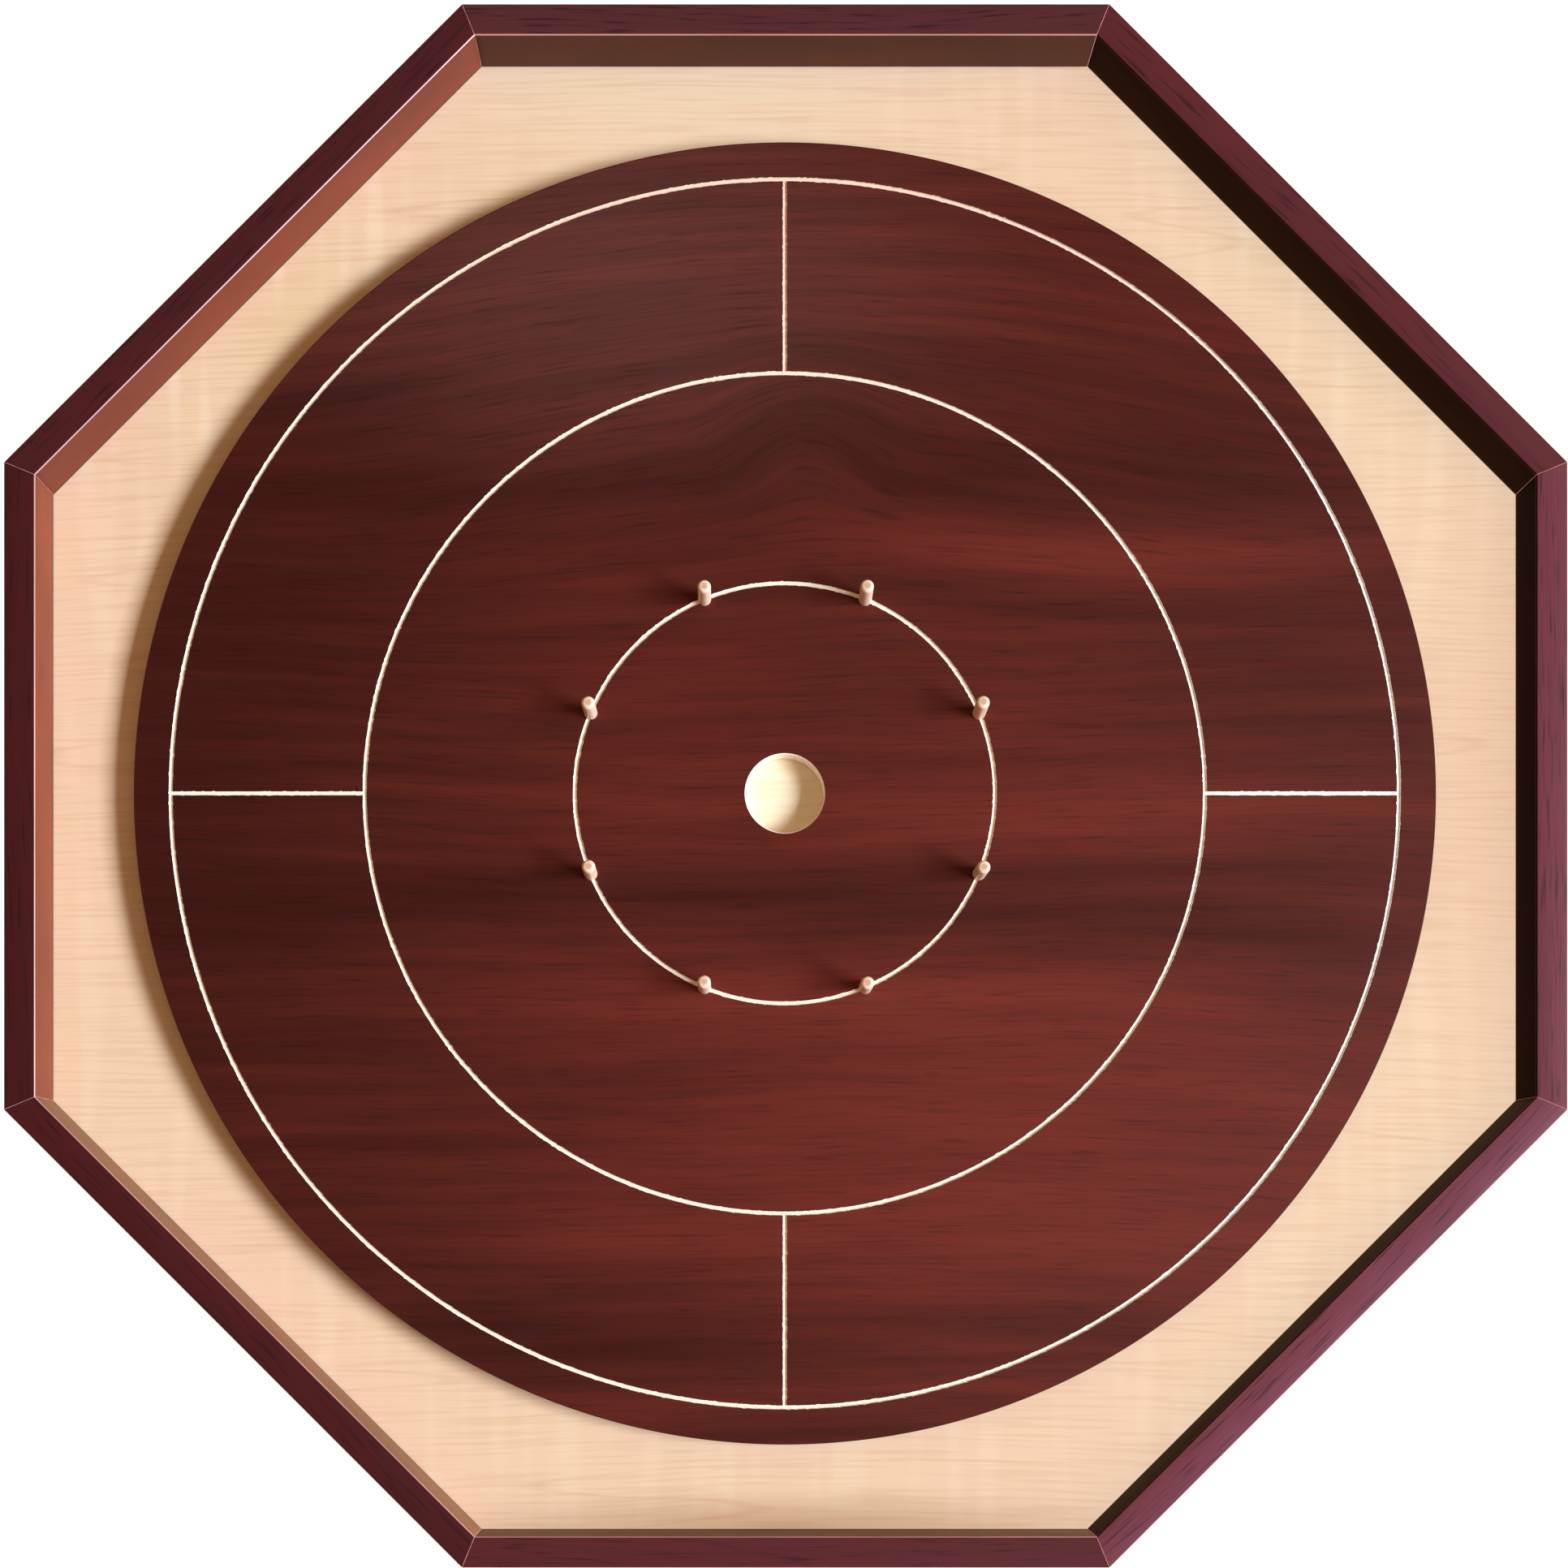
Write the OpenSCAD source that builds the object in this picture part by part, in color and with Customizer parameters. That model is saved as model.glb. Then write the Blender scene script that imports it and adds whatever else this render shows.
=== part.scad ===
// Crokinole board: an octagonal tray with a raised round playing disc.
// Millimetres. +Z is up and +X is to the right of a player who sits on the -Y side.
// The origin is on the table, under the middle of the board.

/* [Frame] */
// Distance across the flats of the octagonal frame
frame_flats = 744; // [730:1:800]
// Thickness of each rail, seen from above
rail_t = 15; // [14:0.5:18]
// Height of the rails above the base panel
rail_rise = 25.4; // [24:0.1:32]
// Radius of the eased edges along each rail
rail_ease = 0.8; // [0.4:0.1:1.5]
// Width of the rebate that holds the base panel
rebate_w = 9; // [8:0.5:9.5]

/* [Base panel] */
// Thickness of the base panel, with both of its faces
base_t = 12.7; // [12:0.1:16]
// Thickness of each thin face, on the base and on the disc
face_t = 0.5; // [0.4:0.1:0.9]
// Gap round the base panel, inside the rebate
panel_gap = 0.25; // [0.1:0.05:0.5]

/* [Playing disc] */
// Diameter of the playing disc, with its edge band
disc_d = 630; // [620:1:650]
// Thickness of the playing disc, with both of its faces
disc_t = 9.5; // [9:0.1:12.7]
// Thickness of the band round the disc's edge
band_t = 0.5; // [0.3:0.1:1]
// Bevel along the top of the edge band
band_bevel = 0.3; // [0.1:0.1:0.5]
// Diameter of the hole in the middle of the disc
hole_d = 38.1; // [34.9:0.1:40]
// Bevel round the mouth of that hole
hole_bevel = 0.4; // [0.2:0.1:0.4]

/* [Scoring grooves] */
// Diameter of the inner ring, at the middle of its groove
inner_ring_d = 203.2; // [190:0.1:215]
// Diameter of the middle ring, at the middle of its groove
middle_ring_d = 406.4; // [390:0.1:420]
// Diameter of the outer ring, at the middle of its groove
outer_ring_d = 594; // [570:0.5:600]
// Width of every groove
line_w = 1.8; // [1.2:0.1:3]
// Depth of every groove, which cuts through the disc's thin top face
line_depth = 0.6; // [0.6:0.1:1.6]

/* [Pegs] */
// Diameter of each peg
peg_d = 6.35; // [5:0.05:8]
// Height of the pegs above the disc
peg_rise = 19; // [14:0.5:25]
// Diameter of the flat on top of each peg
peg_flat_d = 2.8; // [2:0.1:4]
// Bevel at the buried end of each peg
peg_end_bevel = 0.5; // [0.2:0.1:1]

/* [Feet] */
// Height of the rubber feet
foot_h = 6; // [4.5:0.5:12]
// Diameter of each foot where it meets the base panel
foot_d = 22; // [18:1:30]
// Distance of each foot from the middle of the board
foot_reach = 290; // [200:1:320]

/* [Hidden] */
$fn = 96;
eps = 0.01;
sides = 8;
half_side_deg = 180 / sides;
arc_steps = 4;

// Heights of the layers, from the table up
panel_z = foot_h;
base_core_z = panel_z + face_t;
base_top_face_z = panel_z + base_t - face_t;
deck_z = panel_z + base_t;
disc_core_z = deck_z + face_t;
veneer_z = deck_z + disc_t - face_t;
disc_z = deck_z + disc_t;
groove_z = disc_z - line_depth;
rail_top_z = deck_z + rail_rise;
peg_top_z = disc_z + peg_rise;

// Distances from the middle of the board
rail_out = frame_flats / 2;
rail_in = rail_out - rail_t;
rebate_x = rail_in + rebate_w;
panel_flats = 2 * (rebate_x - panel_gap);
core_r = disc_d / 2 - band_t;
hole_r = hole_d / 2;
inner_r = inner_ring_d / 2;
middle_r = middle_ring_d / 2;
outer_r = outer_ring_d / 2;
peg_r = peg_d / 2;

// Loose tongue inside each mitre
tongue_t = 3;
tongue_across = 12;
tongue_h = 18;
tongue_z = deck_z + 3;
mitre_mid_r = (rail_in + rail_out) / 2 / cos(half_side_deg);

// Wood screws: shank radius, head radius, length with the head
rail_screw = [1.45, 2.9, 25.4];
disc_screw = [1.75, 3.4, 19.05];
foot_screw_shank_r = 1.75;
foot_screw_head_r = 3.6;
foot_screw_head_h = 1.8;
foot_screw_bite = 10;
screw_tip = 3;
recess_w = 0.9;
recess_depth = 1.2;
rail_screw_x = rail_in + rebate_w / 2;
rail_screw_y = 95;
disc_screw_reach = 250;

// Foot details
foot_taper = 1.5;
foot_round = 1;
foot_well_r = 4.5;
foot_well_h = foot_h / 2;

RAILS = ["rail_east", "rail_northeast", "rail_north", "rail_northwest",
         "rail_west", "rail_southwest", "rail_south", "rail_southeast"];
QUADRANTS = ["veneer_five_northeast", "veneer_five_northwest",
             "veneer_five_southwest", "veneer_five_southeast"];
PEGS = [for (i = [1 : sides]) str("peg_", i)];
TONGUES = [for (i = [1 : sides]) str("mitre_tongue_", i)];
FEET = ["foot_northeast", "foot_northwest", "foot_southwest", "foot_southeast"];

// Points on an arc, in the order that the polygon goes round
function arc(x, y, r, from, to) =
    [for (i = [0 : arc_steps]) let (a = from + (to - from) * i / arc_steps)
        [x + r * cos(a), y + r * sin(a)]];

// Angle of the i-th rail, and of the i-th peg or mitre
function rail_deg(i) = i * 360 / sides;
function corner_deg(i) = rail_deg(i) + half_side_deg;

// Octagonal plate, flat sides facing +X and +Y
module octagon_plate(flats, z, h) {
    translate([0, 0, z]) rotate([0, 0, half_side_deg])
        cylinder(d = flats / cos(half_side_deg), h = h, $fn = sides);
}

// Flat ring between two radii
module ring(r_in, r_out, z, h) {
    translate([0, 0, z]) difference() {
        cylinder(r = r_out, h = h, $fn = 240);
        translate([0, 0, -eps]) cylinder(r = r_in, h = h + 2 * eps, $fn = 240);
    }
}

// Screw body with a flat countersunk head at the bottom, pointing up
module screw_body(spec) {
    shank_r = spec[0];
    head_r = spec[1];
    length = spec[2];
    cylinder(r1 = head_r, r2 = shank_r, h = head_r - shank_r);
    cylinder(r = shank_r, h = length - screw_tip);
    translate([0, 0, length - screw_tip])
        cylinder(r1 = shank_r, r2 = 0.2, h = screw_tip);
}

// Cross recess in a screw head that faces down, at the origin
module cross_recess(reach) {
    for (a = [0, 90]) rotate([0, 0, a])
        translate([-reach, -recess_w / 2, -eps])
            cube([2 * reach, recess_w, recess_depth]);
}

// Places of the screws
module at_rail_screws() {
    for (i = [0 : sides - 1], side = [-1, 1]) rotate([0, 0, rail_deg(i)])
        translate([rail_screw_x, side * rail_screw_y, panel_z]) children();
}

module at_disc_screws() {
    for (i = [0 : sides - 1]) rotate([0, 0, corner_deg(i)])
        translate([disc_screw_reach, 0, panel_z]) children();
}

module at_foot(i) {
    rotate([0, 0, 45 + 90 * i]) translate([foot_reach, 0, 0]) children();
}

module at_feet() {
    for (i = [0 : 3]) at_foot(i) children();
}

// Shank of a foot screw, from the floor of the foot's well up
module foot_screw_shank() {
    translate([0, 0, foot_well_h])
        cylinder(r = foot_screw_shank_r, h = foot_screw_bite);
}

module peg_holes() {
    for (i = [0 : sides - 1]) rotate([0, 0, corner_deg(i)])
        translate([inner_r, 0, deck_z - eps])
            cylinder(d = peg_d, h = disc_t + 2 * eps);
}

// All the scoring grooves, as cutters
module grooves() {
    h = line_depth + eps;
    for (r = [inner_r, middle_r, outer_r])
        ring(r - line_w / 2, r + line_w / 2, groove_z, h);
    for (a = [0 : 90 : 270]) rotate([0, 0, a])
        translate([middle_r, -line_w / 2, groove_z])
            cube([outer_r - middle_r, line_w, h]);
}

// Base panel

module base_core() {
    color("tan") difference() {
        octagon_plate(panel_flats, base_core_z, base_t - 2 * face_t);
        at_rail_screws() screw_body(rail_screw);
        at_disc_screws() screw_body(disc_screw);
        at_feet() foot_screw_shank();
    }
}

module base_top_face() {
    color("burlywood") difference() {
        octagon_plate(panel_flats, base_top_face_z, face_t);
        at_rail_screws() screw_body(rail_screw);
        at_disc_screws() screw_body(disc_screw);
    }
}

module base_bottom_face() {
    color("burlywood") difference() {
        octagon_plate(panel_flats, panel_z, face_t);
        at_rail_screws() screw_body(rail_screw);
        at_disc_screws() screw_body(disc_screw);
        at_feet() foot_screw_shank();
    }
}

// Playing disc

module disc_core() {
    color("cornsilk") difference() {
        ring(hole_r, core_r, disc_core_z, disc_t - 2 * face_t);
        grooves();
        peg_holes();
        at_disc_screws() screw_body(disc_screw);
    }
}

module disc_backing() {
    color("wheat") difference() {
        ring(hole_r, core_r, deck_z, face_t);
        peg_holes();
        at_disc_screws() screw_body(disc_screw);
    }
}

module disc_edge_band() {
    r = disc_d / 2;
    color("#4a1a16") rotate_extrude($fn = 240) polygon([
        [core_r, deck_z], [r, deck_z], [r, disc_z - band_bevel],
        [r - band_bevel, disc_z], [core_r, disc_z]]);
}

// Veneer inside the inner ring, round the centre hole
module veneer_fifteen() {
    color("#6b2c24") difference() {
        ring(hole_r, inner_r - line_w / 2, veneer_z, face_t);
        translate([0, 0, disc_z - hole_bevel])
            cylinder(r1 = hole_r, r2 = hole_r + hole_bevel + eps, h = hole_bevel + eps, $fn = 240);
        peg_holes();
    }
}

// Veneer between the inner ring and the middle ring
module veneer_ten() {
    color("#6b2c24") difference() {
        ring(inner_r + line_w / 2, middle_r - line_w / 2, veneer_z, face_t);
        peg_holes();
    }
}

// One quarter of the veneer between the middle ring and the outer ring
module veneer_five(i) {
    color("#6b2c24") rotate([0, 0, 90 * i]) intersection() {
        ring(middle_r + line_w / 2, outer_r - line_w / 2, veneer_z, face_t);
        translate([line_w / 2, line_w / 2, veneer_z - eps])
            cube([outer_r, outer_r, face_t + 2 * eps]);
    }
}

// Veneer outside the outer ring
module veneer_border() {
    color("#6b2c24") ring(outer_r + line_w / 2, core_r, veneer_z, face_t);
}

// Frame

// Section of a rail: X is the distance from the middle, Y is the height
module rail_section() {
    e = rail_ease;
    polygon(concat(
        [[rail_in, deck_z], [rebate_x, deck_z], [rebate_x, panel_z]],
        arc(rail_out - e, panel_z + e, e, -90, 0),
        arc(rail_out - e, rail_top_z - e, e, 0, 90),
        arc(rail_in + e, rail_top_z - e, e, 90, 180)));
}

// Wedge that cuts both mitres of a rail
module mitre_wedge() {
    reach = rail_out + 1;
    half = reach * tan(half_side_deg);
    linear_extrude(rail_top_z + 1) polygon([[0, 0], [reach, -half], [reach, half]]);
}

// Loose tongue across a mitre, for a corner that lies along +X
module tongue() {
    translate([mitre_mid_r - tongue_t / 2, -tongue_across / 2, tongue_z])
        cube([tongue_t, tongue_across, tongue_h]);
}

module rail(i) {
    length = frame_flats;
    color("#5a2226") rotate([0, 0, rail_deg(i)]) difference() {
        intersection() {
            translate([0, length / 2, 0]) rotate([90, 0, 0])
                linear_extrude(length) rail_section();
            mitre_wedge();
        }
        for (side = [-1, 1]) {
            rotate([0, 0, side * half_side_deg]) tongue();
            translate([rail_screw_x, side * rail_screw_y, panel_z])
                screw_body(rail_screw);
        }
    }
}

module mitre_tongue(i) {
    color("peru") rotate([0, 0, corner_deg(i)]) tongue();
}

// Pegs

module peg(i) {
    shoulder = peg_r - peg_flat_d / 2;
    color("burlywood") rotate([0, 0, corner_deg(i)]) translate([inner_r, 0, 0])
        rotate_extrude() polygon(concat(
            [[0, deck_z], [peg_r - peg_end_bevel, deck_z], [peg_r, deck_z + peg_end_bevel]],
            arc(peg_flat_d / 2, peg_top_z - shoulder, shoulder, 0, 90),
            [[0, peg_top_z]]));
}

// Feet and fasteners

module foot(i) {
    r = foot_d / 2;
    color("#303030") at_foot(i) difference() {
        rotate_extrude() polygon([
            [0, 0], [r - foot_taper - foot_round, 0], [r - foot_taper, foot_round],
            [r, foot_h], [0, foot_h]]);
        translate([0, 0, -eps]) cylinder(r = foot_well_r, h = foot_well_h + eps);
        foot_screw_shank();
    }
}

module rail_screws() {
    color("silver") at_rail_screws() difference() {
        screw_body(rail_screw);
        cross_recess(1.5);
    }
}

module disc_screws() {
    color("silver") at_disc_screws() difference() {
        screw_body(disc_screw);
        cross_recess(1.8);
    }
}

// Round-headed screws, whose heads sit in the wells of the feet
module foot_screws() {
    head_z = foot_well_h - foot_screw_head_h;
    color("silver") at_feet() difference() {
        union() {
            foot_screw_shank();
            translate([0, 0, head_z]) cylinder(
                r1 = foot_screw_head_r - 0.8, r2 = foot_screw_head_r, h = foot_screw_head_h);
        }
        translate([0, 0, head_z]) cross_recess(1.8);
    }
}

base_core();
base_top_face();
base_bottom_face();
disc_core();
disc_backing();
disc_edge_band();
veneer_fifteen();
veneer_ten();
veneer_border();
for (i = [0 : 3]) veneer_five(i);
for (i = [0 : sides - 1]) rail(i);
for (i = [0 : sides - 1]) mitre_tongue(i);
for (i = [0 : sides - 1]) peg(i);
for (i = [0 : 3]) foot(i);
rail_screws();
disc_screws();
foot_screws();
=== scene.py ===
"""Looks of the crokinole board: meshes, wood materials, light and camera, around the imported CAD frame.

Metres. The row frame is the board's own: +Z up, +X to the right, origin on the table.
"""
import math
import random

import bmesh
import bpy
from mathutils import Matrix, Vector


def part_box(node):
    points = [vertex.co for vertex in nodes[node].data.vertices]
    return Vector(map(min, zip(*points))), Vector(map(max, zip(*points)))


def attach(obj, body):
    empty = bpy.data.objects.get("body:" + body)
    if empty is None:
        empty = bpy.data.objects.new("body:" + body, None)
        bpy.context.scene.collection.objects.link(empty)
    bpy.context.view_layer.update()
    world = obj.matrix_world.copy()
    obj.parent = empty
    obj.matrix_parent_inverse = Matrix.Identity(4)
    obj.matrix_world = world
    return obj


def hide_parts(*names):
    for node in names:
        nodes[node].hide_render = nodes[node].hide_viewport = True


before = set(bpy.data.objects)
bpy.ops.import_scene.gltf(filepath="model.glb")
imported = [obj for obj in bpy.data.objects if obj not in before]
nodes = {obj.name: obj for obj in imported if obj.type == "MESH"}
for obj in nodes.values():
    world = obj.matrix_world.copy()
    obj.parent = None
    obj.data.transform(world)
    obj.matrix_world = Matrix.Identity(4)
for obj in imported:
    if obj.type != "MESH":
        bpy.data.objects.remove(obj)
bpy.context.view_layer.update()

MM = 0.001
SIDES = 8
HALF_SIDE = math.pi / SIDES
COMPASS = ("east", "northeast", "north", "northwest", "west", "southwest", "south", "southeast")
QUARTERS = ("northeast", "northwest", "southwest", "southeast")

# ---------------------------------------------------------------------------
# Sizes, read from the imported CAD


def radii(node):
    """Smallest and largest distance of a node's points from the Z axis."""
    reaches = [math.hypot(v.co.x, v.co.y) for v in nodes[node].data.vertices]
    return min(reaches), max(reaches)


deck_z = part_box("base_top_face")[1].z
veneer_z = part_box("veneer_border")[0].z
disc_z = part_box("veneer_border")[1].z
panel_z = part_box("rail_east")[0].z
rail_top_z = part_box("rail_east")[1].z
rail_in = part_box("rail_east")[0].x
rail_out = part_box("rail_east")[1].x
rebate_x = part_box("base_core")[1].x + 0.25 * MM
disc_r = radii("disc_edge_band")[1]
core_r = radii("disc_core")[1]
hole_r = radii("disc_core")[0]

# ---------------------------------------------------------------------------
# Mesh helpers


def add_piece(name, points, faces, materials, indices=None):
    """A closed mesh object in the row frame; indices gives each face's material."""
    mesh = bpy.data.meshes.new(name)
    mesh.from_pydata(points, [], faces)
    for material in materials:
        mesh.materials.append(material)
    if indices:
        mesh.polygons.foreach_set("material_index", indices)
    tidy = bmesh.new()
    tidy.from_mesh(mesh)
    bmesh.ops.recalc_face_normals(tidy, faces=tidy.faces)
    tidy.to_mesh(mesh)
    tidy.free()
    piece = bpy.data.objects.new(name, mesh)
    bpy.context.scene.collection.objects.link(piece)
    return piece


def shade_smooth(piece, angle=30):
    """Smooths the shading, but keeps edges sharper than angle degrees crisp."""
    for polygon in piece.data.polygons:
        polygon.use_smooth = True
    limit = math.radians(angle)
    work = bmesh.new()
    work.from_mesh(piece.data)
    for edge in work.edges:
        edge.smooth = len(edge.link_faces) == 2 and edge.calc_face_angle() < limit
    work.to_mesh(piece.data)
    work.free()


def joining_faces(a, a_count, b, b_count):
    """Faces between two loops that start at points a and b; one count is a multiple of the other."""
    if a_count < b_count:
        return joining_faces(b, b_count, a, a_count)
    each = a_count // b_count
    faces = []
    for i in range(b_count):
        fine = [a + (i * each + k) % a_count for k in range(each + 1)]
        faces.append((*fine, b + (i + 1) % b_count, b + i))
    return faces


def loft(loops, zone, wrap=False):
    """Joins loops, fine or coarse, with faces. zone(strip, i) gives the material of face i of a strip.

    With wrap, the last loop joins the first, and otherwise both end loops are capped.
    """
    points = [p for loop in loops for p in loop]
    starts = [sum(len(loop) for loop in loops[:k]) for k in range(len(loops))]
    faces = []
    indices = []
    strips = len(loops) if wrap else len(loops) - 1
    for strip in range(strips):
        after = (strip + 1) % len(loops)
        quads = joining_faces(starts[strip], len(loops[strip]), starts[after], len(loops[after]))
        indices += [zone(strip, i) for i in range(len(quads))]
        faces += quads
    if not wrap:
        faces += [tuple(range(len(loops[0]))), tuple(range(starts[-1], len(points)))]
        indices += [zone(0, 0), zone(strips - 1, 0)]
    return points, faces, indices


def circle(radius, z, count, offsets=None):
    """Loop of points round the Z axis, each moved outward by its own offset."""
    loop = []
    for i in range(count):
        a = 2 * math.pi * i / count
        r = radius + (offsets[i] if offsets else 0)
        loop.append((r * math.cos(a), r * math.sin(a), z))
    return loop


def ragged(count, length, rng, spacing=2.5 * MM, deepest=0.28 * MM):
    """How far a cut edge has crumbled at each of count points along its length."""
    step = length / count
    bites = [abs(rng.gauss(0, 0.015 * MM)) for _ in range(count)]
    for _ in range(int(length / spacing)):
        middle = rng.randrange(count)
        depth = deepest * rng.random() ** 2 + 0.03 * MM
        reach = max(1, int((0.3 + rng.random()) * MM / step))
        for k in range(-reach, reach + 1):
            share = 1 - abs(k) / (reach + 1)
            i = (middle + k) % count
            bites[i] = max(bites[i], depth * math.sqrt(share))
    return bites


# ---------------------------------------------------------------------------
# Material helpers


class Paint:
    """One node material on a Principled shader, built a node at a time."""

    def __init__(self, name):
        self.material = bpy.data.materials.new(name)
        self.material.use_nodes = True
        self.tree = self.material.node_tree
        self.shader = self.tree.nodes["Principled BSDF"]

    def feed(self, socket, value):
        if isinstance(value, bpy.types.NodeSocket):
            self.tree.links.new(value, socket)
        else:
            socket.default_value = value

    def add(self, kind, inputs, output=0, **settings):
        """Adds a node, fills its inputs by index or name, and returns one output."""
        node = self.tree.nodes.new("ShaderNode" + kind)
        for key, value in settings.items():
            setattr(node, key, value)
        for key, value in inputs.items():
            self.feed(node.inputs[key], value)
        return node.outputs[output]

    def place(self):
        """Coordinates in the row frame."""
        return self.tree.nodes.new("ShaderNodeTexCoord").outputs["Object"]

    def split(self, vector):
        """The X, Y and Z of a vector."""
        node = self.tree.nodes.new("ShaderNodeSeparateXYZ")
        self.feed(node.inputs[0], vector)
        return node.outputs

    def board(self, turn, seed):
        """Flat coordinates for wood: X along a grain turned by turn, Y across it and down the sides."""
        inputs = {"Vector": self.place(), "Angle": -turn}
        x, y, z = self.split(self.add("VectorRotate", inputs, rotation_type="Z_AXIS"))
        along = self.math("ADD", x, seed * 1.7)
        across = self.math("ADD", self.math("ADD", y, z), seed * 0.9)
        return self.add("CombineXYZ", {"X": along, "Y": across})

    def noise(self, vector, scale, detail=0.0, roughness=0.5):
        """Noise from 0 to 1; scale is cells per metre along each axis, two of them for flat noise."""
        dimensions = f"{len(scale)}D"
        stretched = self.add("VectorMath", {0: vector, 1: (*scale, 0)[:3]}, operation="MULTIPLY")
        inputs = {"Vector": stretched, "Scale": 1.0, "Detail": detail, "Roughness": roughness}
        return self.add("TexNoise", inputs, noise_dimensions=dimensions)

    def lift(self, vector, amount):
        """Moves flat coordinates across the grain by amount."""
        shift = self.add("CombineXYZ", {"Y": amount})
        return self.add("VectorMath", {0: vector, 1: shift}, operation="ADD")

    def warp(self, vector, scale, amount):
        """Moves flat coordinates across the grain by noise, at most half of amount each way."""
        push = self.math("SUBTRACT", self.noise(vector, scale), 0.5)
        return self.lift(vector, self.math("MULTIPLY", push, amount))

    def oval(self, vector, x, y, reach_x, reach_y, peak):
        """A soft hill of height peak at (x, y) in flat coordinates, down to zero at its reach."""
        away = self.add("VectorMath", {0: vector, 1: (x, y, 0)}, operation="SUBTRACT")
        squeeze = (1 / reach_x, 1 / reach_y, 0)
        squeezed = self.add("VectorMath", {0: away, 1: squeeze}, operation="MULTIPLY")
        return self.spread(self.length(squeezed), 0, 1, peak, 0)

    def length(self, vector):
        return self.add("VectorMath", {0: vector}, output=1, operation="LENGTH")

    def math(self, operation, a, b=0.0):
        return self.add("Math", {0: a, 1: b}, operation=operation)

    def spread(self, value, low, high, to_low=0.0, to_high=1.0):
        """Maps low..high to to_low..to_high, smoothly and clamped."""
        inputs = {"Value": value, "From Min": low, "From Max": high,
                  "To Min": to_low, "To Max": to_high}
        return self.add("MapRange", inputs, interpolation_type="SMOOTHSTEP")

    def mix(self, a, b, factor, blend="MIX"):
        inputs = {0: factor, 6: a, 7: b}
        return self.add("Mix", inputs, output=2, data_type="RGBA", blend_type=blend)

    def bump(self, height, distance):
        """Tilts the shading as if the surface rose by distance where height is 1."""
        inputs = {"Height": height, "Distance": distance, "Strength": 1.0}
        self.feed(self.shader.inputs["Normal"], self.add("Bump", inputs))

    def finish(self, colour, roughness, specular=0.5, coat=0.0, coat_roughness=0.1):
        self.feed(self.shader.inputs["Base Color"], colour)
        self.feed(self.shader.inputs["Roughness"], roughness)
        self.shader.inputs["Specular IOR Level"].default_value = specular
        self.shader.inputs["Coat Weight"].default_value = coat
        self.shader.inputs["Coat Roughness"].default_value = coat_roughness
        return self.material


def rgb(red, green, blue):
    """A colour from sRGB values of 0 to 255, as the shader wants it."""
    shares = [c / 255 for c in (red, green, blue)]
    linear = [((s + 0.055) / 1.055) ** 2.4 if s > 0.04 else s / 12.92 for s in shares]
    return (*linear, 1.0)


# ---------------------------------------------------------------------------
# Wood


def tinted(colour, shade):
    return (*[c * shade for c in colour[:3]], 1.0)


def mahogany(name, turn, seed, dark, red, warm=0.5, specular=0.2, streaky=0.2,
             bends=(), tones_and_painted_light=(), painted_sheens=()):
    """Dark red stained wood with its grain along X, turned by turn about Z.

    It drifts between the dark and red tones, warm being the mean share of red, and streaky sets how
    strong its short black streaks are. The rest are ovals as (x, y, reach x, reach y, amount): the grain
    arches over bends, is redder or darker at the tone ovals, whose broad ones are painted light and shade,
    and greyer at the sheen ovals, which are a painted sheen.
    """
    p = Paint(name)
    here = p.board(turn, seed)
    bent = p.warp(here, (2.2, 3.2), 0.03)
    bent = p.warp(bent, (11, 22), 0.003)
    for x, y, reach_x, reach_y, rise in bends:
        bent = p.lift(bent, p.oval(here, x, y, reach_x, reach_y, -rise))
    zones = p.noise(bent, (1.6, 12), 1)
    bands = p.noise(bent, (6, 110), 1)
    lines = p.noise(bent, (13, 560), 2, 0.6)
    streaks = p.noise(bent, (32, 740), 1, 0.6)

    zone_part, band_part = 0.15, 0.16
    drift = p.math("ADD", p.math("MULTIPLY", zones, zone_part), p.math("MULTIPLY", bands, band_part))
    share = p.math("ADD", drift, warm - (zone_part + band_part) / 2)
    # Tone ovals: grain bands, and broad ones that are painted light and shade
    for x, y, reach_x, reach_y, warmth in tones_and_painted_light:
        share = p.math("ADD", share, p.oval(bent, x, y, reach_x, reach_y, warmth))
    tone = p.mix(dark, red, p.spread(share, 0.25, 0.75))
    # Painted sheen: grey mixed in at the sheen ovals
    for x, y, reach_x, reach_y, grey in painted_sheens:
        tone = p.mix(tone, rgb(130, 122, 122), p.oval(here, x, y, reach_x, reach_y, grey))
    tone = p.mix(tone, (0.72, 0.68, 0.68, 1), p.spread(lines, 0.42, 0.72, 0, 0.6), "MULTIPLY")
    tone = p.mix(tone, (0.2, 0.15, 0.16, 1), p.spread(streaks, 0.56, 0.8, 0, streaky), "MULTIPLY")
    p.bump(p.noise(here, (60, 1000)), 0.00003)
    return p.finish(tone, p.spread(lines, 0.3, 0.7, 0.45, 0.55), specular)


def satin(name, colour, specular, coat=0.0):
    """Smooth varnished side or edge of a rail, with a faint drift in its colour."""
    p = Paint(name)
    here = p.place()
    drift = p.noise(here, (14, 14, 40), 1)
    grain = p.noise(here, (260, 260, 900), 1)
    tone = p.mix(tinted(colour, 0.86), tinted(colour, 1.14), p.spread(drift, 0.3, 0.7))
    tone = p.mix(tone, (0.8, 0.76, 0.74, 1), p.spread(grain, 0.5, 0.8, 0, 0.4), "MULTIPLY")
    p.bump(grain, 0.00001)
    return p.finish(tone, p.spread(drift, 0.3, 0.7, 0.42, 0.5), specular, coat, 0.25)


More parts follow.
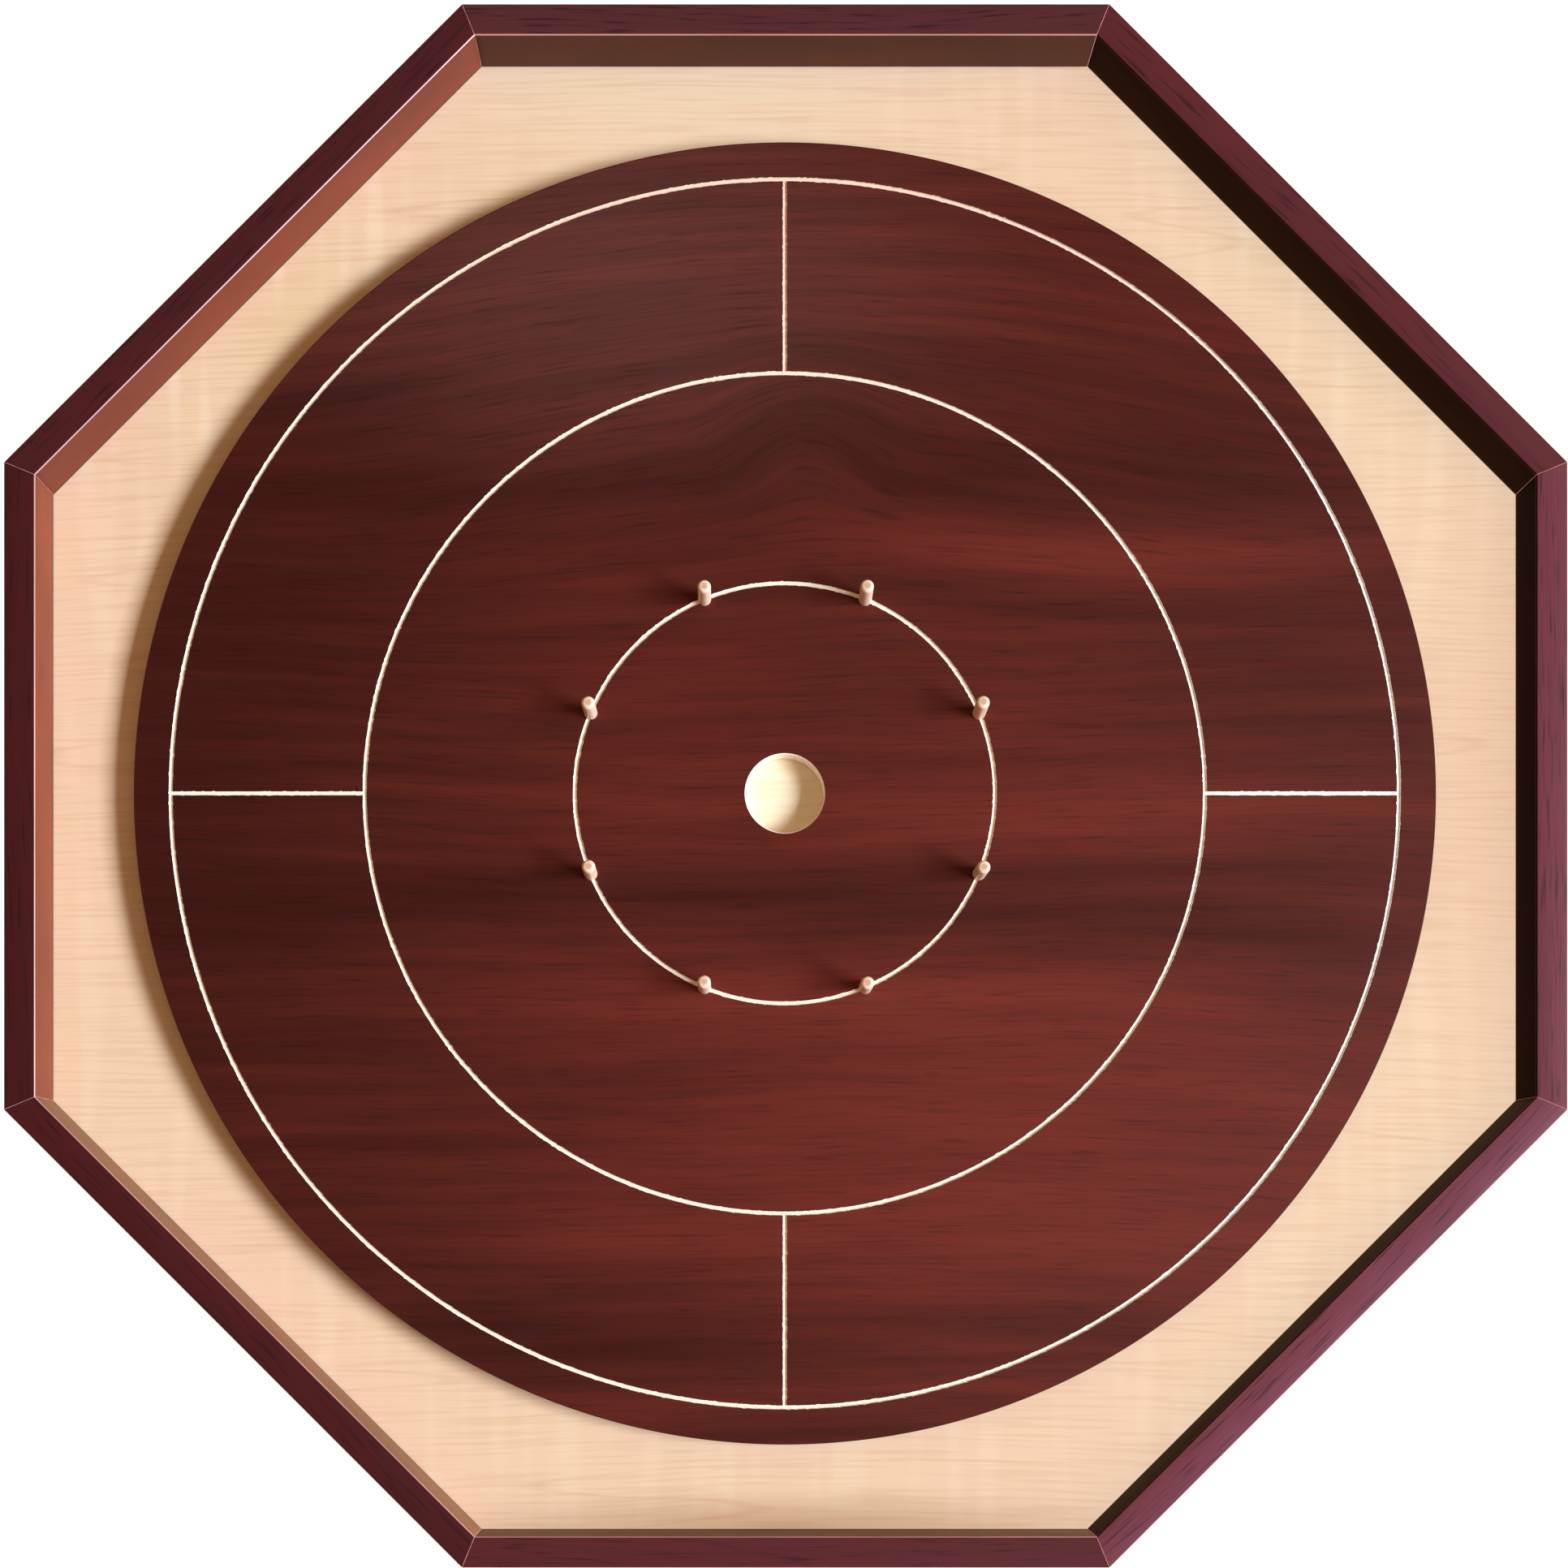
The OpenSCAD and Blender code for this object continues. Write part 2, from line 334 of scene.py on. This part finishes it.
def maple(name, seed, light_r, painted_light_and_shade, curls):
    """Pale face with faint brown growth lines along X. Within light_r of the axis it is paler.

    Its painted light and shade are ovals that drift to another colour, as (x, y, reach x, reach y, amount,
    colour), and curls are ovals where the pale figure across the grain is stronger, as (x, y, reach x, reach
    y, amount).
    """
    p = Paint(name)
    here = p.board(0, seed)
    bent = p.warp(here, (2.0, 3.0), 0.03)
    bent = p.warp(bent, (12, 26), 0.0025)
    drift = p.noise(here, (4, 6), 1)
    curl = p.noise(here, (85, 9))
    growth = p.noise(bent, (1.0, 24))
    ripples = p.noise(bent, (16, 560), 1)

    tone = p.mix(rgb(241, 205, 174), rgb(240, 208, 173), p.spread(drift, 0.35, 0.65))
    flat = p.add("VectorMath", {0: p.place(), 1: (1, 1, 0)}, operation="MULTIPLY")
    figure = 0.14
    for x, y, reach_x, reach_y, amount in curls:
        figure = p.math("ADD", figure, p.oval(flat, x, y, reach_x, reach_y, amount))
    tone = p.mix(tone, rgb(255, 238, 208), p.spread(curl, 0.45, 0.8, 0, figure))
    hole_floor = p.spread(p.length(flat), light_r, light_r * 1.3, 0.95, 0)
    tone = p.mix(tone, rgb(252, 234, 203), hole_floor)
    # Painted light and shade: each oval drifts the tone towards its colour
    for x, y, reach_x, reach_y, amount, colour in painted_light_and_shade:
        tone = p.mix(tone, colour, p.oval(flat, x, y, reach_x, reach_y, amount))
    rings = p.math("PINGPONG", growth, 0.13)
    tone = p.mix(tone, (0.86, 0.76, 0.66, 1), p.spread(rings, 0, 0.008, 0.35, 0), "MULTIPLY")
    tone = p.mix(tone, (0.88, 0.80, 0.72, 1), p.spread(ripples, 0.42, 0.72, 0, 0.45), "MULTIPLY")
    p.bump(ripples, 0.00002)
    return p.finish(tone, p.spread(ripples, 0.3, 0.7, 0.45, 0.55), 0.3)


def pale_core(name):
    """Raw pale fibre with a torn surface, pinker towards the north and whiter towards the east, where the
    whitening is painted light over the shade on the grooves' walls.
    """
    p = Paint(name)
    here = p.place()
    east, north, _ = p.split(here)
    fuzz = p.noise(here, (900, 900, 900), 1, 0.7)
    clumps = p.noise(here, (260, 260, 260), 1)
    tone = p.mix(rgb(255, 241, 226), rgb(226, 200, 172), p.spread(fuzz, 0.5, 0.8, 0, 0.5))
    tone = p.mix(tone, rgb(206, 180, 152), p.spread(clumps, 0.58, 0.8, 0, 0.35))
    # Painted light: whiter towards the east, over the shade on the grooves' walls
    tone = p.mix(tone, rgb(255, 252, 248), p.spread(east, 0.05, 0.3, 0, 0.9))
    tone = p.mix(tone, rgb(236, 196, 176), p.spread(north, 0.12, 0.3, 0, 0.6))
    p.bump(p.math("ADD", fuzz, clumps), 0.00015)
    return p.finish(tone, 0.85, 0.2)


def peg_wood(name, colour, pore_share):
    """Turned maple with its grain upright; pore_share is how strongly its pores show."""
    p = Paint(name)
    here = p.place()
    upright = p.noise(here, (500, 500, 22), 1)
    pores = p.noise(here, (1700, 1700, 90), 1)
    tone = p.mix(colour, tinted(colour, 0.88), p.spread(upright, 0.45, 0.75))
    tone = p.mix(tone, tinted(colour, 0.6), p.spread(pores, 0.6, 0.8, 0, pore_share))
    p.bump(upright, 0.00001)
    return p.finish(tone, 0.34, 0.5)


def plain_board(name, pale, brown, grain=(60, 60, 60)):
    """Fibreboard or a balancing face: two tones in fine noise."""
    p = Paint(name)
    here = p.place()
    coarse = p.noise(here, grain, 4, 0.65)
    fine = p.noise(here, (900, 900, 900), 2, 0.6)
    tone = p.mix(pale, brown, p.spread(coarse, 0.35, 0.7))
    tone = p.mix(tone, (0.7, 0.65, 0.6, 1), p.spread(fine, 0.55, 0.75, 0, 0.4), "MULTIPLY")
    p.bump(fine, 0.00005)
    return p.finish(tone, 0.8, 0.25)


def rubber(name):
    p = Paint(name)
    here = p.place()
    grit = p.noise(here, (1400, 1400, 1400), 2, 0.6)
    dust = p.noise(here, (120, 120, 120), 3, 0.6)
    tone = p.mix(rgb(34, 33, 33), rgb(62, 60, 58), p.spread(dust, 0.5, 0.8, 0, 0.5))
    p.bump(grit, 0.00004)
    return p.finish(tone, p.spread(dust, 0.3, 0.7, 0.62, 0.8), 0.4)


def zinc(name):
    p = Paint(name)
    here = p.place()
    stain = p.noise(here, (700, 700, 700), 3, 0.6)
    turned = p.noise(here, (300, 300, 5000), 2, 0.5)
    tone = p.mix(rgb(190, 190, 186), rgb(140, 140, 138), p.spread(stain, 0.45, 0.75))
    p.bump(turned, 0.00001)
    p.shader.inputs["Metallic"].default_value = 1.0
    return p.finish(tone, p.spread(stain, 0.3, 0.7, 0.28, 0.42), 0.5)


# ---------------------------------------------------------------------------
# Materials of the pieces

DISC_DARK, DISC_RED = rgb(58, 14, 10), rgb(121, 45, 34)

# Ovals on the disc, as (x, y, reach x, reach y, amount)
DISC_BENDS = (
    (0.00, 0.20, 0.30, 0.17, 0.035),
    (0.01, 0.18, 0.06, 0.06, 0.016),
)
DISC_TONES_AND_PAINTED_LIGHT = (
    # Broad drifts of tone, painted light and shade of the key light from the right: darker down the left,
    # redder at the lower right
    (-0.37, 0.020, 0.33, 0.480, -0.160),
    (0.15, -0.160, 0.36, 0.200, 0.150),
    (-0.16, 0.130, 0.20, 0.120, -0.040),
    (-0.03, 0.250, 0.22, 0.070, 0.030),
    # Dark and red bands, from the top down
    (-0.21, 0.192, 0.09, 0.026, -0.100),
    (0.00, 0.180, 0.34, 0.022, -0.070),
    (-0.20, 0.155, 0.12, 0.026, -0.050),
    (0.20, 0.155, 0.12, 0.026, -0.050),
    (0.00, 0.140, 0.30, 0.028, -0.100),
    (0.17, 0.110, 0.22, 0.022, 0.160),
    (0.13, 0.055, 0.15, 0.070, 0.045),
    (-0.13, 0.016, 0.12, 0.018, -0.050),
    (0.14, -0.012, 0.30, 0.028, 0.130),
    (-0.02, -0.016, 0.08, 0.018, -0.070),
    (-0.15, -0.045, 0.06, 0.018, -0.040),
    (0.02, -0.052, 0.40, 0.026, -0.110),
    (-0.27, -0.065, 0.10, 0.030, -0.070),
    (0.02, -0.075, 0.07, 0.018, -0.050),
    (0.18, -0.074, 0.26, 0.024, -0.120),
    (0.26, -0.095, 0.08, 0.040, -0.070),
    (-0.02, -0.105, 0.26, 0.022, 0.060),
    (-0.12, -0.165, 0.16, 0.022, -0.050),
    (0.20, -0.165, 0.10, 0.022, -0.050),
    (0.04, -0.215, 0.28, 0.028, 0.070),
    (0.15, -0.255, 0.11, 0.026, -0.080),
    (-0.15, -0.252, 0.07, 0.020, -0.060),
    (-0.09, -0.266, 0.24, 0.030, -0.100),
    (0.00, -0.308, 0.16, 0.016, -0.080),
)
# Painted sheen: the face greyer at the top middle
DISC_PAINTED_SHEENS = ((-0.08, 0.25, 0.24, 0.14, 0.09),)

# Painted light and shade on the base, as the disc's ovals with a colour at the end: the south rail's
# shadow, paler by the north rail, peachier by the east rail, and yellowish shade beside the disc's northwest
# edge
MAPLE_PAINTED_LIGHT_AND_SHADE = (
    (0.0, -rail_in, 0.22, 0.024, 0.80, rgb(198, 152, 115)),
    (-0.06, 0.35, 0.22, 0.07, 1.00, rgb(241, 214, 183)),
    (rail_in, 0.0, 0.07, 0.28, 0.95, rgb(237, 196, 162)),
    (-0.137, 0.294, 0.07, 0.07, 0.30, rgb(231, 200, 152)),
    (-0.230, 0.230, 0.07, 0.07, 0.40, rgb(231, 200, 152)),
    (-0.294, 0.137, 0.07, 0.07, 0.30, rgb(231, 200, 152)),
)
MAPLE_CURLS = (
    (-0.27, 0.24, 0.13, 0.14, 0.45),
    (0.28, 0.25, 0.12, 0.13, 0.12),
)


def on_disc(ovals):
    """Ovals on the disc's face, in its wood's flat coordinates: X, and Y plus the face's height."""
    return [(x, y + disc_z, reach_x, reach_y, amount) for x, y, reach_x, reach_y, amount in ovals]


face_wood = mahogany("mahogany_face", 0, 0, DISC_DARK, DISC_RED, warm=0.455, streaky=0.35,
                     bends=on_disc(DISC_BENDS), tones_and_painted_light=on_disc(DISC_TONES_AND_PAINTED_LIGHT), painted_sheens=on_disc(DISC_PAINTED_SHEENS))
band_wood = mahogany("edge_band", 0, 2, rgb(60, 24, 22), rgb(80, 30, 24))
bare_core = pale_core("pale_core")
maple_face = maple("maple_face", 3, hole_r, MAPLE_PAINTED_LIGHT_AND_SHADE, MAPLE_CURLS)
dowel = peg_wood("peg_wood", rgb(255, 217, 192), 0.15)
dowel_end = peg_wood("peg_end", rgb(222, 176, 148), 0.3)
raw_mitre = plain_board("raw_mitre", rgb(222, 170, 160), rgb(190, 130, 118), (200, 200, 200))


def carry(node, material):
    """Keeps a CAD node and gives it a finished material."""
    slots = nodes[node].data.materials
    slots.clear()
    slots.append(material)


carry("base_top_face", maple_face)
carry("base_core", plain_board("core_board", rgb(176, 142, 106), rgb(146, 112, 80)))
backing = plain_board("backing_face", rgb(222, 190, 150), rgb(200, 162, 120), (6, 140, 140))
carry("base_bottom_face", backing)
carry("disc_backing", backing)
carry("disc_core", bare_core)
tongue_wood = plain_board("tongue_wood", rgb(205, 170, 122), rgb(180, 142, 98), (200, 200, 20))
foot_rubber = rubber("foot_rubber")
screw_steel = zinc("screw_steel")
for i in range(1, SIDES + 1):
    carry(f"mitre_tongue_{i}", tongue_wood)
for quarter in QUARTERS:
    carry(f"foot_{quarter}", foot_rubber)
for group in ("rail_screws", "disc_screws", "foot_screws"):
    carry(group, screw_steel)

# ---------------------------------------------------------------------------
# Disc face: seven pieces whose cut edges are crumbled down to the pale core

SKIN = 0.2 * MM
MARGIN = 3 * MM
FINE_STEP = 0.45 * MM
THIN = 8
DARK, PALE = 0, 1


def stand_for(piece, node):
    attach(piece, "root")
    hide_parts(node)


def fine_count(length):
    """How many fine points a cut edge of this length gets, a multiple of THIN."""
    return THIN * int(length / (THIN * FINE_STEP))


def veneer_ring(node, seed, ragged_in=True, ragged_out=True, bevel=0.0):
    """A flat ring of face wood; a ragged edge borders a groove, and bevel eases the inner edge."""
    r_in, r_out = radii(node)
    if bevel:
        r_in = hole_r
    count = fine_count(2 * math.pi * r_out)
    rng = random.Random(seed)
    even = [0.0] * count
    bite_in = ragged(count, 2 * math.pi * r_in, rng) if ragged_in else even
    bite_out = [-b for b in ragged(count, 2 * math.pi * r_out, rng)] if ragged_out else even
    part_in = [b * 0.5 for b in bite_in]
    part_out = [b * 0.5 for b in bite_out]
    loops = [
        circle(r_in, veneer_z, count // THIN),
        circle(r_in, disc_z - (bevel or SKIN), count, part_in),
        circle(r_in + bevel, disc_z, count, bite_in),
        circle(r_in + bevel + MARGIN, disc_z, count // THIN),
        circle(r_out - MARGIN, disc_z, count // THIN),
        circle(r_out, disc_z, count, bite_out),
        circle(r_out, disc_z - SKIN, count, part_out),
        circle(r_out, veneer_z, count // THIN),
    ]
    bands = (PALE, PALE, DARK, DARK, DARK, PALE, PALE, DARK)
    points, faces, indices = loft(loops, lambda strip, i: bands[strip], wrap=True)
    piece = add_piece(f"{node}_face", points, faces, [face_wood, bare_core], indices)
    stand_for(piece, node)


def quarter_outline(r_in, r_out, gap):
    """Fine points round a quarter ring that stops gap short of both axes, each with its inward direction."""
    low_in = math.sqrt(r_in ** 2 - gap ** 2)
    low_out = math.sqrt(r_out ** 2 - gap ** 2)
    outline = []

    def arc(radius, inward, start, end):
        count = fine_count(abs(end - start) * radius)
        for k in range(count):
            a = start + (end - start) * k / count
            spoke = Vector((math.cos(a), math.sin(a)))
            outline.append((spoke * radius, spoke * inward))

    def side(start, end, inward):
        count = fine_count((end - start).length)
        outline.extend((start.lerp(end, k / count), inward) for k in range(count))

    side(Vector((low_in, gap)), Vector((low_out, gap)), Vector((0, 1)))
    arc(r_out, -1, math.asin(gap / r_out), math.acos(gap / r_out))
    side(Vector((gap, low_out)), Vector((gap, low_in)), Vector((1, 0)))
    arc(r_in, 1, math.acos(gap / r_in), math.asin(gap / r_in))
    return outline


def veneer_quarter(index, seed):
    node = f"veneer_five_{QUARTERS[index]}"
    r_in, r_out = radii(node)
    gap = min(abs(v.co.x) for v in nodes[node].data.vertices)
    outline = quarter_outline(r_in, r_out, gap)
    count = len(outline)
    bites = ragged(count, count * FINE_STEP, random.Random(seed))
    turn = Matrix.Rotation(index * math.pi / 2, 2)

    def level(z, share, inset=0.0, every=1):
        loop = []
        for (point, inward), bite in list(zip(outline, bites))[::every]:
            spot = turn @ (point + inward * (bite * share + inset))
            loop.append((spot.x, spot.y, z))
        return loop

    loops = [
        level(veneer_z, 0, every=THIN),
        level(disc_z - SKIN, 0.5),
        level(disc_z, 1),
        level(disc_z, 0, MARGIN, THIN),
    ]
    bands = (PALE, PALE, DARK)
    points, faces, indices = loft(loops, lambda strip, i: bands[strip])
    piece = add_piece(f"{node}_face", points, faces, [face_wood, bare_core], indices)
    stand_for(piece, node)


veneer_ring("veneer_fifteen", 11, ragged_in=False, bevel=0.4 * MM)
veneer_ring("veneer_ten", 12)
veneer_ring("veneer_border", 13, ragged_out=False)
for i in range(4):
    veneer_quarter(i, 20 + i)


def edge_band():
    """Thin dark band round the disc, with its top edge eased."""
    count = 1440
    ease = 0.3 * MM
    steps = 4
    loops = [circle(core_r, deck_z, count), circle(disc_r, deck_z, count)]
    for k in range(steps + 1):
        a = math.pi / 2 * k / steps
        radius = disc_r - ease + ease * math.cos(a)
        loops.append(circle(radius, disc_z - ease + ease * math.sin(a), count))
    loops.append(circle(core_r, disc_z, count))
    points, faces, indices = loft(loops, lambda strip, i: 0, wrap=True)
    piece = add_piece("disc_edge_band_strip", points, faces, [band_wood], indices)
    shade_smooth(piece)
    stand_for(piece, "disc_edge_band")


edge_band()

# ---------------------------------------------------------------------------
# Rails: mitred bars with rounded edges that are a little uneven, and a painted highlight on the lit rails'
# inner edges

EASE = 0.8 * MM
EASE_STEPS = 5
MITRE_GAP = 0.12 * MM
FOOT_SHADE_BAND = 0.8 * MM
TOP, INNER, ARRIS, MITRE, OUTER = range(5)
OUTER_DARK, OUTER_RED = rgb(52, 15, 16), rgb(78, 24, 25)

# Tone of the top, tone of the inner side and its shine, from east round to southeast.
# The tones hold painted light and shade: the tops are lighter and purpler towards the east as a painted
# sheen, and the inner sides are near black in the east as painted shade and bright in the west as painted
# light
RAIL_TONES_WITH_PAINTED_LIGHT = (
    (rgb(112, 48, 62), rgb(38, 20, 12), 0.005),
    (rgb(90, 30, 36), rgb(48, 26, 15), 0.01),
    (rgb(80, 34, 37), rgb(84, 42, 28), 0.2),
    (rgb(72, 20, 25), rgb(117, 51, 36), 0.3),
    (rgb(66, 14, 18), rgb(129, 60, 38), 0.3),
    (rgb(72, 17, 22), rgb(139, 91, 62), 0.3),
    (rgb(87, 28, 34), rgb(112, 69, 40), 0.2),
    (rgb(115, 50, 66), rgb(54, 24, 13), 0.01),
)


def rail_section(rng, shrink=0.0):
    """Points of a rail's section as (distance, height).

    The top inner edge, the inner side and a thin band along its foot come last; the band takes the top's
    wood, a painted shade of the gap where the rail meets the base.
    """
    foot = 0.35 * MM
    section = [(rail_in + foot, deck_z), (rebate_x, deck_z), (rebate_x, panel_z)]
    corners = [
        (rail_out - EASE, panel_z + EASE, -90),
        (rail_out - EASE, rail_top_z - EASE, 0),
        (rail_in + EASE, rail_top_z - EASE, 90),
    ]
    for x, z, start in corners:
        for k in range(EASE_STEPS + 1):
            a = math.radians(start + 90 * k / EASE_STEPS)
            r = EASE - abs(rng.gauss(0, 0.01 * MM))
            section.append((x + r * math.cos(a), z + r * math.sin(a)))
    # A thin band at the foot in the top's wood: painted shade of the gap where the rail meets the base
    section.append((rail_in, deck_z + foot + FOOT_SHADE_BAND))
    section.append((rail_in, deck_z + foot))
    middle_x = (rail_in + rail_out) / 2
    middle_z = (deck_z + rail_top_z) / 2
    return [(x - math.copysign(shrink, x - middle_x), z - math.copysign(shrink, z - middle_z))
            for x, z in section]


def make_rail(index, materials):
    """Rail number index, counted from east, with its ends eased so that a fine groove marks each mitre."""
    node = f"rail_{COMPASS[index]}"
    rng = random.Random(100 + index)
    slices = 48
    turn = Matrix.Rotation(index * 2 * HALF_SIDE, 3, "Z")
    loops = []

    def add_loop(share, inset, shrink=0.0):
        loop = []
        for x, z in rail_section(rng, shrink):
            y = share * (x * math.tan(HALF_SIDE) - inset)
            loop.append(tuple(turn @ Vector((x, y, z))))
        loops.append(loop)

    add_loop(-1, 0, MITRE_GAP)
    add_loop(-1, MITRE_GAP)
    for k in range(slices):
        add_loop(-1 + 2 * (k + 0.5) / slices, 0)
    add_loop(1, MITRE_GAP)
    add_loop(1, 0, MITRE_GAP)
    side = len(loops[0]) - 3
    top = side - EASE_STEPS - 1
    last = len(loops) - 2

    def zone(strip, i):
        """Material of face i of the section, where top is the top face and side the inner side."""
        if strip in (0, last):
            return MITRE
        if i == side:
            return INNER
        if i < top - 2:
            return OUTER
        # The foot band and the foot's chamfer take the top's wood, the band as painted shade of the gap
        return ARRIS if top + 1 < i < side - 1 else TOP

    points, faces, indices = loft(loops, zone)
    piece = add_piece(f"{node}_bar", points, faces, materials, indices)
    shade_smooth(piece, 35)
    stand_for(piece, node)
    return piece


# Lighter pink on the lit rails' inner edges: a painted highlight, over a real glossy coat
painted_highlight_edge = satin("painted_highlight_edge", rgb(195, 137, 131), 0.8, coat=1.0)
rails = []
for i in range(SIDES):
    grain = i * 2 * HALF_SIDE + math.pi / 2
    top, inner, shine = RAIL_TONES_WITH_PAINTED_LIGHT[i]
    point = COMPASS[i]
    # The top's two tones carry this rail's painted light and shade
    stain = mahogany(f"rail_wood_{point}", grain, 10 + i, tinted(top, 0.72), tinted(top, 1.32),
                     specular=0.3, streaky=0.7)
    outer = mahogany(f"rail_outer_{point}", grain, 30 + i, OUTER_DARK, OUTER_RED, streaky=0.5)
    # The inner side's tone carries painted shade in the east and painted light in the west
    side = satin(f"rail_side_{point}", inner, shine)
    # Only the lit rails get the painted highlight on their inner edges
    arris = painted_highlight_edge if shine > 0.1 else side
    rails.append(make_rail(i, [stain, side, arris, raw_mitre, outer]))

# ---------------------------------------------------------------------------
# Pegs


def make_peg(index):
    """Turned peg with rounded shoulders and a small bare flat, leaning a little."""
    node = f"peg_{index}"
    low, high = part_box(node)
    rng = random.Random(200 + index)
    radius = (high.x - low.x) / 2
    centre = Vector(((low.x + high.x) / 2, (low.y + high.y) / 2, disc_z))
    flat = 1.5 * MM
    shoulder = radius - flat
    count = 64
    steps = 8
    profile = [(radius - 0.5 * MM, low.z), (radius, low.z + 0.5 * MM), (radius, disc_z)]
    profile += [(radius + rng.gauss(0, 0.01 * MM), disc_z + (high.z - shoulder - disc_z) * k / 6)
                for k in range(1, 6)]
    for k in range(steps + 1):
        a = math.pi / 2 * k / steps
        profile.append((flat + shoulder * math.cos(a), high.z - shoulder + shoulder * math.sin(a)))
    lean = Matrix.Rotation(rng.gauss(0, math.radians(0.5)), 3, "X")
    lean = lean @ Matrix.Rotation(rng.gauss(0, math.radians(0.5)), 3, "Y")
    loops = []
    for r, z in profile:
        loop = []
        for k in range(count):
            a = 2 * math.pi * k / count
            arm = Vector((r * math.cos(a), r * math.sin(a), z - disc_z))
            loop.append(tuple(centre + (lean @ arm if z > disc_z else arm)))
        loops.append(loop)
    points, faces, indices = loft(loops, lambda strip, i: 0)
    indices[-1] = 1
    piece = add_piece(f"{node}_dowel", points, faces, [dowel, dowel_end], indices)
    shade_smooth(piece, 40)
    stand_for(piece, node)


for i in range(1, SIDES + 1):
    make_peg(i)

# ---------------------------------------------------------------------------
# Floor, light and camera

scene = bpy.context.scene
scene.view_settings.view_transform = "Standard"


def make_floor():
    p = Paint("floor_paint")
    here = p.place()
    mottle = p.noise(here, (3, 3, 3), 2)
    tone = p.mix((0.90, 0.90, 0.90, 1), (0.92, 0.92, 0.92, 1), mottle)
    half = 6.0
    floor = add_piece("floor", [(-half, -half, 0), (half, -half, 0), (half, half, 0), (-half, half, 0)],
                      [(0, 1, 2, 3)], [p.finish(tone, 0.9, 0.1)])
    return floor


floor = make_floor()


def link_set(name, objects, state):
    group = bpy.data.collections.new(name)
    for thing in objects:
        group.objects.link(thing)
    for entry in group.collection_objects:
        entry.light_linking.link_state = state
    return group


def add_light(name, data, place):
    """A light at place that shines at the middle of the board."""
    lamp = bpy.data.objects.new(name, data)
    lamp.location = place
    lamp.rotation_euler = (-place).to_track_quat("-Z", "Y").to_euler()
    scene.collection.objects.link(lamp)
    return lamp


# The key light stands low on the right. Its half width and half height are as seen from the board.
KEY_ELEVATION = math.radians(32)
KEY_AZIMUTH = math.radians(-13)
KEY_DISTANCE = 20.0
KEY_HALF_WIDTH = math.radians(16)
KEY_HALF_HEIGHT = math.radians(8)
KEY_STRENGTH = 6.2
CASTS_NO_SHADE = ("east", "northeast", "south", "southeast")
key_place = KEY_DISTANCE * Vector((
    math.cos(KEY_ELEVATION) * math.cos(KEY_AZIMUTH),
    math.cos(KEY_ELEVATION) * math.sin(KEY_AZIMUTH),
    math.sin(KEY_ELEVATION),
))
key_data = bpy.data.lights.new("key", "AREA")
key_data.shape = "RECTANGLE"
key_data.size = 2 * KEY_DISTANCE * math.tan(KEY_HALF_WIDTH)
key_data.size_y = 2 * KEY_DISTANCE * math.tan(KEY_HALF_HEIGHT)
key_data.energy = KEY_STRENGTH * math.pi * KEY_DISTANCE ** 2
key_data.color = (0.78, 0.88, 0.975)
key = add_light("key", key_data, key_place)
key.visible_camera = False
key.light_linking.receiver_collection = link_set("key_skips", [floor], "EXCLUDE")
for point in CASTS_NO_SHADE:
    rails[COMPASS.index(point)].visible_shadow = False
nodes["rail_screws"].visible_shadow = False
for i in range(1, SIDES + 1):
    nodes[f"mitre_tongue_{i}"].visible_shadow = False

wash_data = bpy.data.lights.new("floor_wash", "SUN")
wash_data.energy = 3.6
wash_data.angle = math.radians(20)
floor_wash = add_light("floor_wash", wash_data, Vector((0, 0, 5)))
floor_wash.light_linking.receiver_collection = link_set("wash_only", [floor], "INCLUDE")

world = bpy.data.worlds.new("studio")
world.use_nodes = True
scene.world = world
sky_nodes = world.node_tree.nodes
glow = sky_nodes["Background"]
glow.inputs["Color"].default_value = (1.0, 0.64, 0.35, 1)
glow.inputs["Strength"].default_value = 0.33
paper = sky_nodes.new("ShaderNodeBackground")
paper.inputs["Color"].default_value = (1, 1, 1, 1)
seen = sky_nodes.new("ShaderNodeLightPath")
choose = sky_nodes.new("ShaderNodeMixShader")
wire = world.node_tree.links.new
wire(seen.outputs["Is Camera Ray"], choose.inputs[0])
wire(glow.outputs[0], choose.inputs[1])
wire(paper.outputs[0], choose.inputs[2])
wire(choose.outputs[0], sky_nodes["World Output"].inputs["Surface"])
world.cycles.sampling_method = "NONE"
scene.cycles.max_bounces = 5
scene.cycles.diffuse_bounces = 3
scene.cycles.glossy_bounces = 3

# The camera looks straight down from beside the board's middle, and its shift centres the board
CAMERA_HEIGHT = 960 * MM
camera_data = bpy.data.cameras.new("camera")
camera_data.sensor_width = 36
camera_data.lens = 45.12
camera_data.shift_x = 0.0316
camera_data.shift_y = 0.2945
camera = bpy.data.objects.new("camera", camera_data)
camera.location = (-24.4 * MM, -218.8 * MM, deck_z + CAMERA_HEIGHT)
scene.collection.objects.link(camera)
scene.camera = camera
